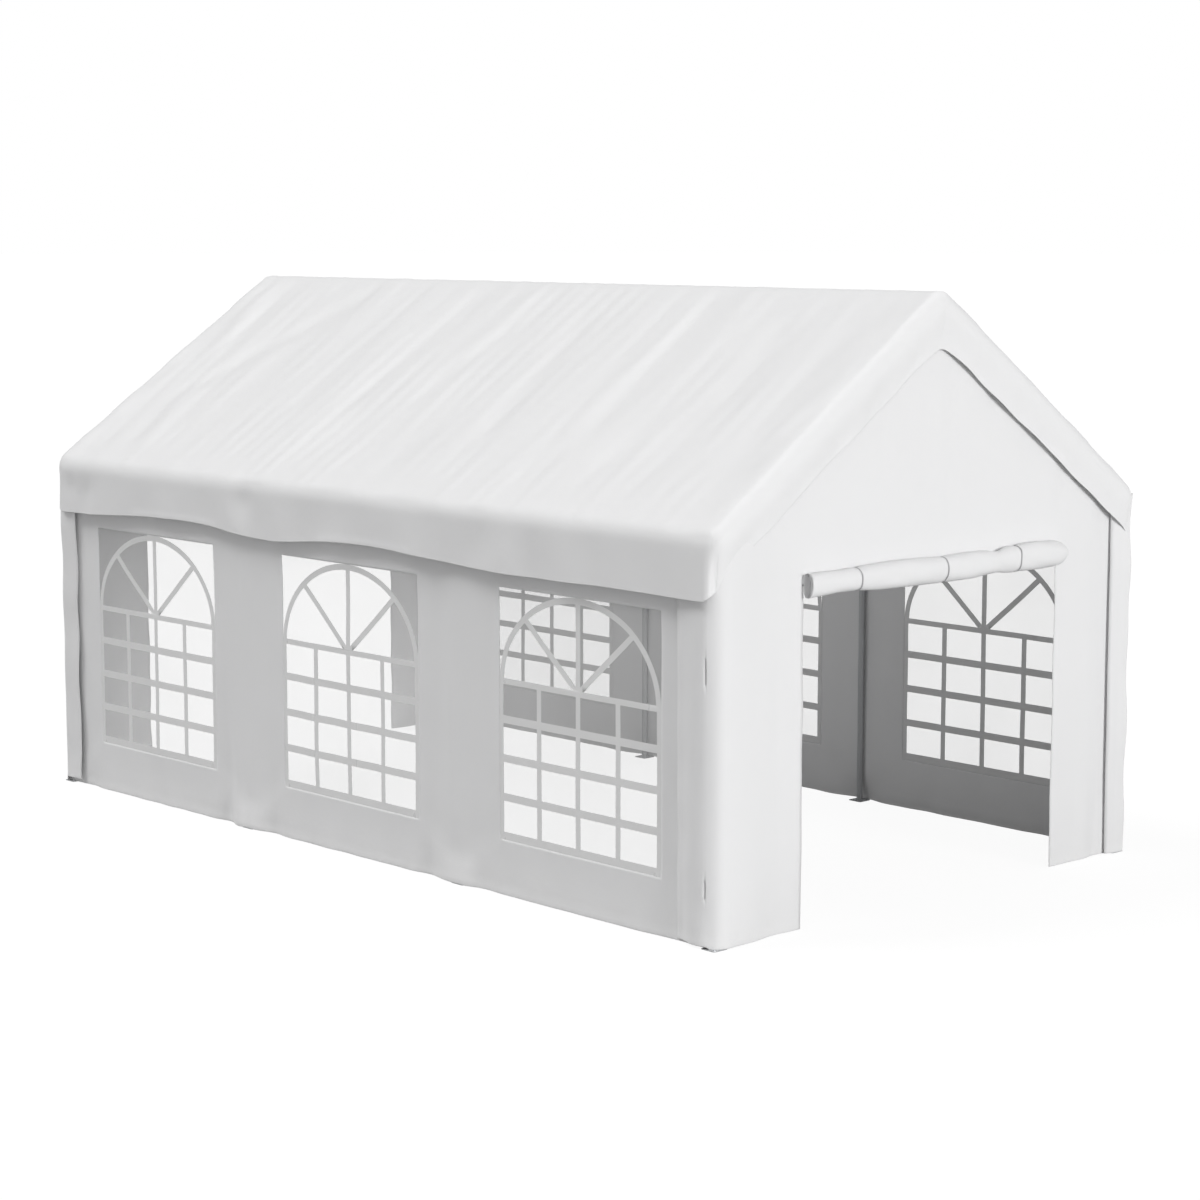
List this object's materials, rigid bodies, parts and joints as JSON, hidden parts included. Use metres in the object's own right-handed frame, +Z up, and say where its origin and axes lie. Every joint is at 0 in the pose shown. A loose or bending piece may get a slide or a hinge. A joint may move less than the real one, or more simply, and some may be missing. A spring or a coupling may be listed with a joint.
{
  "type": "marquee tent",
  "caption": "Gable-roofed marquee tent: steel tube frame under a fabric roof and walls, with arched clear windows along both sides and a doorway with a rolled-up door in each gable.",
  "frame": {"origin": "on the ground under the middle of the ridge", "axes": "+Z up, +Y along the tent towards the back gable, +X across it to the right as seen from the front"},
  "size_m": [3.44, 6.2272, 3.3169],
  "materials": {
    "frame_steel": "light grey powder coat, satin",
    "roof_cloth": "white coated polyethylene weave, soft sheen",
    "wall_cloth": "white coated polyethylene weave, soft sheen",
    "clear_film": "thin clear film, glossy"
  },
  "bodies": {
    "root": {"leg_left_1": "frame_steel", "leg_left_2": "frame_steel", "leg_left_3": "frame_steel", "leg_left_4": "frame_steel", "leg_right_1": "frame_steel", "leg_right_2": "frame_steel", "leg_right_3": "frame_steel", "leg_right_4": "frame_steel", "eave_joint_left_1": "frame_steel", "eave_joint_left_2": "frame_steel", "eave_joint_left_3": "frame_steel", "eave_joint_left_4": "frame_steel", "eave_joint_right_1": "frame_steel", "eave_joint_right_2": "frame_steel", "eave_joint_right_3": "frame_steel", "eave_joint_right_4": "frame_steel", "rafter_left_1": "frame_steel", "rafter_left_2": "frame_steel", "rafter_left_3": "frame_steel", "rafter_left_4": "frame_steel", "rafter_right_1": "frame_steel", "rafter_right_2": "frame_steel", "rafter_right_3": "frame_steel", "rafter_right_4": "frame_steel", "ridge_joint_1": "frame_steel", "ridge_joint_2": "frame_steel", "ridge_joint_3": "frame_steel", "ridge_joint_4": "frame_steel", "eave_rail_left_1": "frame_steel", "eave_rail_left_2": "frame_steel", "eave_rail_left_3": "frame_steel", "eave_rail_right_1": "frame_steel", "eave_rail_right_2": "frame_steel", "eave_rail_right_3": "frame_steel", "ridge_rail_1": "frame_steel", "ridge_rail_2": "frame_steel", "ridge_rail_3": "frame_steel", "roof_cover": "roof_cloth", "front_wall": "wall_cloth", "back_wall": "wall_cloth", "left_wall": "wall_cloth", "right_wall": "wall_cloth", "front_door_roll": "wall_cloth", "back_door_roll": "wall_cloth", "left_window_1": "clear_film", "left_window_2": "clear_film", "left_window_3": "clear_film", "right_window_1": "clear_film", "right_window_2": "clear_film", "right_window_3": "clear_film"}
  },
  "joints": []
}
